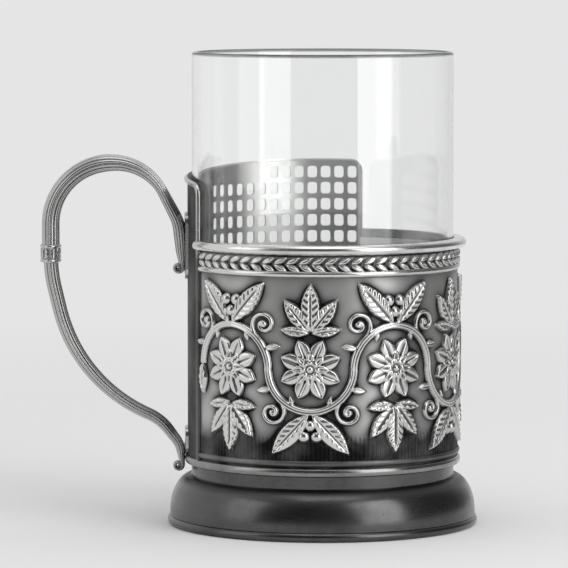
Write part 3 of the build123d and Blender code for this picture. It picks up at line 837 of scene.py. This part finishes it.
def tea_glass():
    """Tumbler turned from its wall profile: round heel inside and out and a fire-rounded lip."""
    outer, inner = glass_high[0], glass_high[0] - GLASS_WALL
    bottom, floor = glass_low[2], glass_low[2] + GLASS_FLOOR
    heel, inner_heel = GLASS_HEEL, GLASS_HEEL - GLASS_WALL
    half = GLASS_WALL / 2
    lip_start = glass_high[2] - half
    profile = np.concatenate([
        [[CENTRE_HOLE, bottom], [outer - heel - STAY, bottom]],
        arc((outer - heel, bottom + heel), (heel, heel), -90, 0, HEEL_POINTS),
        [[outer, bottom + heel + STAY], [outer, lip_start - STAY]],
        arc((outer - half, lip_start), (half, half), 0, 180, LIP_POINTS),
        [[inner, lip_start - STAY], [inner, floor + inner_heel + STAY]],
        arc((inner - inner_heel, floor + inner_heel), (inner_heel, inner_heel), 0, -90, HEEL_POINTS),
        [[inner - inner_heel - STAY, floor], [CENTRE_HOLE, floor]],
    ])
    azimuth = 360 * np.arange(GLASS_STEPS)[:, None] / GLASS_STEPS
    points = polar(profile[:, 0], azimuth, profile[:, 1])
    faces = grid_quads(GLASS_STEPS, len(profile), close_rows=True).tolist()
    first = np.arange(GLASS_STEPS) * len(profile)
    faces.append(first[::-1].tolist())
    faces.append((first + len(profile) - 1).tolist())
    tumbler = put_piece("tumbler", "tea_glass", "clear_glass", GLASS, points, faces, body="glass")
    tumbler.visible_shadow = False


# Heat guard

COLUMN_STEP = degrees_along(HOLE_PITCH, WALL)
FIELD_START = GUARD_START + degrees_along(HOLE_MARGIN + (HOLE_WIDTH - HOLE_PITCH) / 2, WALL)
FIELD_END = FIELD_START + HOLE_COLUMNS * COLUMN_STEP
HIGHEST = GUARD_TOP + GUARD_SLOPE * WALL
HOLES_TOP = HIGHEST - HOLE_TOP_MARGIN


def sloping_top(azimuth):
    """Height of the guard's top edge without its corners: a slanting cut, highest towards the back."""
    return GUARD_TOP + GUARD_SLOPE * WALL * np.sin(np.radians(azimuth))


def rounded_top(azimuth):
    """Height of the guard's top edge, rounded off at the two ends."""
    to_end = np.radians(np.minimum(azimuth - GUARD_START, GUARD_END - azimuth)) * WALL
    inside = np.clip(GUARD_CORNER - to_end, 0, GUARD_CORNER)
    return sloping_top(azimuth) - GUARD_CORNER + np.sqrt(np.maximum(GUARD_CORNER**2 - inside**2, 0))


def full_columns():
    """Number of columns that have room for a hole in the top row."""
    middles = FIELD_START + COLUMN_STEP * (np.arange(HOLE_COLUMNS) + 0.5)
    return int(np.sum(sloping_top(middles) - HOLES_TOP >= HOLE_LEAST_MARGIN))


def hole_outline(count):
    """Rounded oblong about the origin, count points spaced like those on a square's edge."""
    side = np.stack([np.linspace(-1, 1, count // 4 + 1)[:-1], -np.ones(count // 4)], -1)
    square = np.concatenate([side, side[:, ::-1] * (-1, 1), -side, side[:, ::-1] * (1, -1)])
    half = np.array([HOLE_WIDTH, HOLE_HEIGHT]) / 2
    point = square * half
    core = half - HOLE_CORNER
    nearest = np.clip(point, -core, core)
    away = point - nearest
    length = np.maximum(np.linalg.norm(away, axis=1, keepdims=True), TINY)
    rounded = nearest + away / length * HOLE_CORNER
    on_side = np.min(np.abs(away), axis=1, keepdims=True) < TINY
    return np.where(on_side, point, rounded), square


def guard_cells():
    """Points (azimuth, height) and quads of the guard laid flat: a chequer of cells, some with a hole.

    Cell (a, b) spans column lines a to a + 1 and row lines b to b + 1. A plain cell is an even grid; a
    pierced one is rings of points between the hole's outline and the cell's edge. Cells share no points.
    """
    plain = np.linspace(FIELD_END, GUARD_END, PLAIN_COLUMNS + 1)[1:]
    pierced = FIELD_START + COLUMN_STEP * np.arange(HOLE_COLUMNS + 1)
    column_lines = np.concatenate([[GUARD_START], pierced, plain])
    top_line = HOLES_TOP - HOLE_HEIGHT / 2 + HOLE_ROW_PITCH / 2
    pierced = top_line - HOLE_ROW_PITCH * np.arange(HOLE_ROWS + 1)[::-1]
    plain = np.linspace(SLEEVE_BOTTOM, pierced[0], PLAIN_ROWS + 1)[:-1]
    row_lines = np.concatenate([plain, pierced, [HIGHEST]])
    around = 4 * CELL_SPLIT
    outline, square = hole_outline(around)
    outline = outline * np.array([degrees_along(1.0, WALL), 1.0])
    t = np.linspace(0, 1, HOLE_RINGS)[:, None, None]
    even = np.linspace(0, 1, CELL_SPLIT + 1)
    even = np.stack(np.meshgrid(even, even, indexing="ij"), -1)
    full = full_columns()
    points, faces = [], []
    count = 0
    for a, left in enumerate(column_lines[:-1]):
        end_row = PLAIN_ROWS + HOLE_ROWS - (a > full)
        for b, bottom in enumerate(row_lines[:-1]):
            size = np.array([column_lines[a + 1] - left, row_lines[b + 1] - bottom])
            if 1 <= a <= HOLE_COLUMNS and PLAIN_ROWS <= b < end_row:
                local = (1 - t) * (outline + size / 2) + t * (square + 1) / 2 * size
                faces.append(grid_quads(HOLE_RINGS, around, count, close_columns=True))
            else:
                local = even * size
                faces.append(grid_quads(CELL_SPLIT + 1, CELL_SPLIT + 1, count))
            points.append(local.reshape(-1, 2) + np.array([left, bottom]))
            count += len(points[-1])
    return np.concatenate(points), np.concatenate(faces)


def settled_height(azimuth, height):
    """Heights drawn together above the topmost holes, so that the highest follow the rounded top edge."""
    full_end = FIELD_START + full_columns() * COLUMN_STEP
    row_less = HOLE_ROW_PITCH * smooth_step(azimuth, ROW_LESS_COLUMNS, full_end, COLUMN_STEP)
    no_holes = SETTLE_DROP * smooth_step(azimuth, SETTLE_COLUMNS, FIELD_END, COLUMN_STEP)
    settle = HOLES_TOP + SETTLE_ROOM - row_less - no_holes
    top = rounded_top(np.clip(azimuth, GUARD_START, GUARD_END))
    share = (height - settle) / (HIGHEST - settle)
    return np.where(height > settle, settle + share * (top - settle), height)


def guard_panel():
    """Pierced sheet: the flat cells on two radii, with walls between them round the holes and the edge.

    Points closer than 1 / MERGE_SCALE become one; the shift keeps even values off the edge of rounding.
    A wall stands on each edge that belongs to one quad only.
    """
    flat, faces = guard_cells()
    keys = np.round(flat * MERGE_SCALE + MERGE_SHIFT)
    _, keep, number = np.unique(keys, axis=0, return_index=True, return_inverse=True)
    faces = number.ravel()[faces]
    azimuth = flat[keep, 0]
    height = settled_height(azimuth, flat[keep, 1])
    total = len(keep)
    points = np.concatenate([polar(WALL, azimuth, height), polar(SLEEVE_IN, azimuth, height)])
    start, end = np.concatenate([faces[:, [k, (k + 1) % 4]] for k in range(4)]).T
    lone = ~np.isin(end * total + start, start * total + end)
    walls = np.stack([end[lone], start[lone], start[lone] + total, end[lone] + total], -1)
    every = np.concatenate([faces, faces[:, ::-1] + total, walls]).tolist()
    guard = put_piece("pierced_guard", "guard_panel", "polished_nickel", GUARD_METAL, points, every)
    # Outside: darker, the more so towards the seam. Inside: painted shade towards both ends of the pierced
    # field.
    near_seam = smooth_step(azimuth, SEAM_SHADE, GUARD_END)
    outer_darkening = GUARD_OUTER_DARKENING[0] + (GUARD_OUTER_DARKENING[1] - GUARD_OUTER_DARKENING[0]) * near_seam
    handle_side = smooth_step(azimuth, HANDLE_SIDE_SHADE, FIELD_END, COLUMN_STEP)
    free_end = 1 - smooth_step(azimuth, FREE_END_SHADE, FIELD_START, COLUMN_STEP)
    inner_painted_shade = np.maximum(HANDLE_SIDE_PAINTED_SHADE * handle_side, FREE_END_PAINTED_SHADE * free_end)
    set_patina_and_shade(guard, np.concatenate([outer_darkening, inner_painted_shade]))


def guard_edging():
    """Half-round strip along the guard's two upright edges and its sloping top with round corners."""
    inset = EDGING_WIDTH / 2 - EDGING_OVERHANG
    bottom = lower_ring_high[2]
    corner = GUARD_CORNER - inset
    spread = degrees_along(inset, WALL)
    low_az, high_az = GUARD_START + spread, GUARD_END - spread
    corner_along, corner_drop = arc((corner, corner), (-corner, -corner), 0, 90, CORNER_POINTS).T
    corner_az = degrees_along(corner_along, WALL)
    along = np.linspace(low_az + corner_az[-1], high_az - corner_az[-1], TOP_POINTS)[1:-1]
    azimuth = np.concatenate([low_az + corner_az, along, (high_az - corner_az)[::-1]])
    drop = np.concatenate([corner_drop, np.zeros(len(along)), corner_drop[::-1]])
    height = sloping_top(azimuth) - inset - drop
    rise = np.linspace(0, 1, UPRIGHT_POINTS)[:-1]
    azimuth = np.concatenate([np.full(len(rise), low_az), azimuth, np.full(len(rise), high_az)])
    up = bottom + rise * (height[0] - bottom)
    down = bottom + rise[::-1] * (height[-1] - bottom)
    height = np.concatenate([up, height, down])
    centre = polar(WALL + SOLDER_GAP, azimuth, height)
    outwards = polar(1.0, azimuth, 0.0)
    tangent = np.gradient(centre, axis=0)
    tangent -= outwards * np.sum(tangent * outwards, axis=1, keepdims=True)
    tangent /= np.linalg.norm(tangent, axis=1, keepdims=True)
    turn = np.linspace(0, np.pi, EDGING_POINTS)
    side, out = EDGING_WIDTH / 2 * np.cos(turn), EDGING_PROUD * np.sin(turn) ** EDGING_ROUNDNESS
    points, faces = sweep(centre, np.cross(tangent, outwards), outwards, side, out)
    strip = put_piece("guard_edge_strip", "guard_edging", "polished_nickel", EDGING_METAL, points, faces)
    # Darker below the top of the sleeve
    set_patina_and_shade(strip, EDGING_LOW_DARKENING * smooth_step(points[:, 2], EDGING_SHADE, SLEEVE_TOP))


# Handle

def run_along(route):
    """Length of a route from its start to each of its points."""
    return np.concatenate([[0], np.cumsum(np.linalg.norm(np.diff(route, axis=0), axis=1))])


def rounded_route(corners, radii):
    """Evenly spaced points along straight runs joined by arcs, in the plane y = 0."""
    corners = np.asarray(corners, float)
    pieces = [corners[:1]]
    for index, radius in enumerate(radii):
        before, at, after = corners[index:index + 3]
        one = (before - at) / np.linalg.norm(before - at)
        two = (after - at) / np.linalg.norm(after - at)
        half = math.acos(np.clip(one @ two, -1, 1)) / 2
        middle = at + (one + two) / np.linalg.norm(one + two) * radius / math.sin(half)
        start = at + one * radius / math.tan(half) - middle
        finish = at + two * radius / math.tan(half) - middle
        angle = math.pi - 2 * half
        t = np.linspace(0, 1, max(int(angle * radius / ROUTE_SPACING), BEND_LEAST_POINTS))[:, None]
        bend = (np.sin((1 - t) * angle) * start + np.sin(t * angle) * finish) / math.sin(angle)
        pieces.append(middle + bend)
    pieces.append(corners[-1:])
    joined = np.concatenate(pieces)
    run = run_along(joined)
    even = np.linspace(0, run[-1], int(run[-1] / ROUTE_SPACING) + 1)
    return np.stack([np.interp(even, run, joined[:, k]) for k in (0, 1)], -1)


def reeded_bar(name, replaced, flat, depth, width, inner):
    """Oval section with round reeds carried along a route; depth and width vary along it.

    At section angle t the outline is the oval pulled in by REED_DEPTH times 1 - sqrt |sin(REEDS t / 2)|.
    The grooves between the reeds are blackened as patina, more on the inner side, where the extra darkening
    and the
    dark inner edge are painted shade: inner is -1 where that side has a negative sine and 1 where it has a
    positive one.
    """
    centre = np.stack([flat[:, 0], np.zeros(len(flat)), flat[:, 1]], -1)
    across = np.array([[0.0, 1.0, 0.0]])
    tangent = np.gradient(centre, axis=0)
    tangent /= np.linalg.norm(tangent, axis=1, keepdims=True)
    turn = 2 * np.pi * np.arange(REED_POINTS * REEDS) / (REED_POINTS * REEDS)
    reed = np.abs(np.sin(REEDS * turn / 2))
    pull = REED_DEPTH * (1 - np.sqrt(reed))
    side = (width[:, None] / 2 - pull) * np.cos(turn)
    out = (depth[:, None] / 2 - pull) * np.sin(turn)
    points, faces = sweep(centre, across, np.cross(across, tangent), side, out)
    bar = put_piece(name, replaced, "handle_nickel", HANDLE_METAL, points, faces, crease=RELIEF_CREASE)
    # Patina in the grooves, heavier on the inner side as painted shade; the inner edge gets painted shade
    inwards = inner * np.sin(turn)
    groove = OUTER_GROOVE_TARNISH + (1 - OUTER_GROOVE_TARNISH) * smooth_step(inwards, INNER_SIDE)
    edge = INNER_EDGE_PAINTED_SHADE * smooth_step(inwards, INNER_EDGE)
    tarnish = np.maximum(groove * smooth_step(1 - reed, GROOVE_EDGE), edge)
    set_patina_and_shade(bar, np.broadcast_to(tarnish, side.shape))


def rolled_end(x, z):
    """Spiral from its inner end out to the point (x, z), where it runs upwards.

    Its radius falls evenly with the angle turned, and it rolls away from the cup.
    """
    t = np.linspace(1, 0, ROLL_POINTS)
    angle = -2 * np.pi * ROLL_TURNS * t
    radius = ROLL_RADIUS * (1 - ROLL_FALL * t)
    return np.stack([x - ROLL_RADIUS + radius * np.cos(angle), z + radius * np.sin(angle)], -1)


def rolled_bar(name, replaced, route, depths, widths, inner):
    """Reeded bar along a route that starts with a rolled end, which thins towards its tip."""
    roll = rolled_end(*route[0])[:-1]
    run = run_along(route)
    depth = np.interp(run / run[-1], *zip(*depths))
    width = np.interp(run / run[-1], *zip(*widths))
    tip = np.linspace(ROLL_TIP, 1, ROLL_POINTS)[:-1]
    depth = np.concatenate([depth[0] * tip, depth])
    width = np.concatenate([np.full(len(tip), width[0]), width])
    reeded_bar(name, replaced, np.concatenate([roll, route]), depth, width, inner)


def handle():
    """Upper bow and lower stem, each a reeded bar that swells and tapers from its rolled end."""
    bow = [
        (UPPER_ROLL_X, UPPER_TANG_LOW),
        (UPPER_TANG_X, BEND),
        (CREST_INNER_X, CREST),
        (OUTER_RUN_X, CREST),
        (OUTER_RUN_X, SPLIT),
    ]
    stem = [
        (LOWER_ROLL_X, LOWER_TANG_LOW),
        (LOWER_TANG_X, ROOT),
        WRIST,
        ELBOW,
        (OUTER_RUN_X, KNEE),
        (OUTER_RUN_X, SPLIT),
    ]
    bow = rounded_route(bow, BOW_RADII)
    stem = rounded_route(stem, STEM_RADII)
    rolled_bar("handle_upper_bow", "handle_bow", bow, BOW_DEPTHS, BOW_WIDTHS, inner=-1)
    rolled_bar("handle_lower_stem", "handle_stem", stem, STEM_DEPTHS, STEM_WIDTHS, inner=1)


def collar():
    """Oval ferrule: a flat band between two beads, with a row of small leaf tips that point up on it.

    The outline is an oval of the bow's size plus the offset at each height. The band stands out by
    TIP_PROUD in the leaf tips, which lie under a wave round the oval, and is blackened between them.
    """
    low, high = collar_low[2], collar_high[2]
    wall = (collar_high[0] - collar_low[0] - FERRULE_DEPTH) / 2
    bead = (wall - FERRULE_BAND, BEAD_HEIGHT / 2)
    lower = arc((FERRULE_BAND, low + bead[1]), bead, -90, 90, BEAD_POINTS)
    upper = arc((FERRULE_BAND, high - bead[1]), bead, -90, 90, BEAD_POINTS)
    level = np.linspace(low + BEAD_HEIGHT, high - BEAD_HEIGHT, BAND_POINTS + 2)[1:-1]
    band = np.stack([np.full(BAND_POINTS, FERRULE_BAND), level], -1)
    profile = np.concatenate([lower, band, upper, [[SOLDER_GAP, high], [SOLDER_GAP, low]]])
    on_band = np.zeros(len(profile))
    on_band[BEAD_POINTS:BEAD_POINTS + BAND_POINTS] = 1
    around = 2 * np.pi * np.arange(FERRULE_STEPS)[:, None] / FERRULE_STEPS
    rise = (profile[:, 1] - low) / (high - low)
    tips = smooth_step(np.abs(np.sin(TIPS * around / 2)) - rise, TIP_EDGE) * on_band
    offset = profile[:, 0] + TIP_PROUD * tips
    x = OUTER_RUN_X + (FERRULE_DEPTH / 2 + offset) * np.cos(around)
    y = (FERRULE_WIDTH / 2 + offset) * np.sin(around)
    points = np.stack([x, y, np.broadcast_to(profile[:, 1], x.shape)], -1)
    faces = grid_quads(FERRULE_STEPS, len(profile), close_rows=True, close_columns=True).tolist()
    ferrule = put_piece("handle_ferrule", "handle_collar", "handle_nickel", HANDLE_METAL, points, faces)
    set_patina_and_shade(ferrule, FERRULE_TARNISH * on_band * (1 - tips))


def finish_cad_nodes():
    """Finishes for the nodes that stay as the CAD made them."""
    kept = {
        "seat_plate": PLAIN_METAL,
        "upper_rivets": PLAIN_METAL,
        "lower_rivet": PLAIN_METAL,
        "upper_saddle": HANDLE_METAL,
        "lower_saddle": HANDLE_METAL,
    }
    for name, material in kept.items():
        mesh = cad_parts[name].data
        mesh.materials.clear()
        mesh.materials.append(material)


# Stage

def stage_floor():
    """Pale disc that keeps the object's shadow and fades into the pale surround towards its edge."""
    material, tree, shader = new_material("pale_floor")
    feed(tree, shader, {"Base Color": (FLOOR_TONE, FLOOR_TONE, FLOOR_TONE)})
    feed(tree, shader, {"Roughness": FLOOR_ROUGHNESS, "Specular IOR Level": 0.0})
    glow = node(tree, "ShaderNodeEmission", {"Strength": BACKDROP_TONE})
    place = node(tree, "ShaderNodeTexCoord").outputs["Object"]
    reach = node(tree, "ShaderNodeVectorMath", {0: place}, operation="LENGTH").outputs["Value"]
    inputs = {0: ramp(tree, reach, *FLOOR_FADE), 1: shader.outputs[0], 2: glow.outputs[0]}
    blend = node(tree, "ShaderNodeMixShader", inputs)
    feed(tree, tree.nodes["Material Output"], {"Surface": blend.outputs[0]})
    edge = polar(FLOOR_FADE[1], 360 * np.arange(FLOOR_STEPS) / FLOOR_STEPS, 0.0)
    mesh = bpy.data.meshes.new("floor")
    mesh.from_pydata(edge.tolist(), [], [list(range(FLOOR_STEPS))])
    mesh.materials.append(material)
    floor = bpy.data.objects.new("floor", mesh)
    bpy.context.scene.collection.objects.link(floor)


def surround():
    """World, by kind of ray: pale for the camera and through glass, and an even dome for the floor.

    Reflections see a pale back and sides with a darker right and a dark front, where the camera stands.
    """
    world = bpy.data.worlds.new("studio")
    world.use_nodes = True
    tree = world.node_tree
    direction = separate(tree, node(tree, "ShaderNodeTexCoord").outputs["Generated"])
    back = ramp(tree, direction["Y"], *FRONT_EDGE, FRONT_TONE, SURROUND_TONE)
    room = arithmetic(tree, "MULTIPLY", back, ramp(tree, direction["X"], *RIGHT_EDGE, 1.0, RIGHT_TONE))
    ray = node(tree, "ShaderNodeLightPath").outputs
    level = mix(tree, "FLOAT", ray["Is Glossy Ray"], DOME_TONE, room)
    level = mix(tree, "FLOAT", ray["Is Transmission Ray"], level, THROUGH_TONE)
    level = mix(tree, "FLOAT", ray["Is Camera Ray"], level, BACKDROP_TONE)
    feed(tree, tree.nodes["Background"], {"Color": (1.0, 1.0, 1.0), "Strength": level})
    bpy.context.scene.world = world


def softbox(name, azimuth, elevation, distance, size, brightness, on_floor):
    """Area lamp that looks at the middle of the holder; azimuth 0 is the camera's side.

    Its power is pi times its area times its brightness, so that brightness 1 looks white in a mirror.
    One that is not on_floor lights no matt surface.
    """
    lamp = bpy.data.lights.new(name, "AREA")
    lamp.shape = "RECTANGLE"
    lamp.size, lamp.size_y = size
    lamp.energy = math.pi * size[0] * size[1] * brightness
    holder = bpy.data.objects.new(name, lamp)
    across, up = math.radians(azimuth), math.radians(elevation)
    direction = np.array([math.sin(across) * math.cos(up), -math.cos(across) * math.cos(up), math.sin(up)])
    holder.location = direction * distance + np.array([0, 0, AIM_HEIGHT])
    holder.rotation_euler = (math.pi / 2 - up, 0, across)
    holder.visible_diffuse = on_floor
    bpy.context.scene.collection.objects.link(holder)


def softboxes():
    """Large lamp at the right of the camera, a weaker one at the left and one overhead."""
    softbox(
        "key_softbox", azimuth=46, elevation=20, distance=0.9,
        size=(0.55, 0.95), brightness=2.3, on_floor=True,
    )
    softbox(
        "fill_softbox", azimuth=-66, elevation=20, distance=1.0,
        size=(0.5, 0.8), brightness=0.9, on_floor=False,
    )
    softbox(
        "top_softbox", azimuth=10, elevation=78, distance=0.9,
        size=(0.6, 0.6), brightness=1.2, on_floor=False,
    )


def camera():
    """Long lens at the photograph's height and pitch, level along the picture's width."""
    lens = bpy.data.cameras.new("camera")
    lens.sensor_width = SENSOR
    lens.lens = FOCAL_PIXELS * SENSOR / IMAGE_SIZE
    lens.clip_end = VIEW_DEPTH
    holder = bpy.data.objects.new("camera", lens)
    holder.location = (CAMERA_SIDE * MM, -CAMERA_BACK * MM, CAMERA_HEIGHT * MM)
    holder.rotation_euler = (math.radians(90 - CAMERA_PITCH), 0, 0)
    bpy.context.scene.collection.objects.link(holder)
    bpy.context.scene.camera = holder


relief_panel()
turned_pieces()
tea_glass()
guard_panel()
guard_edging()
handle()
collar()
finish_cad_nodes()
stage_floor()
surround()
softboxes()
camera()
bpy.context.scene.view_settings.view_transform = "Standard"
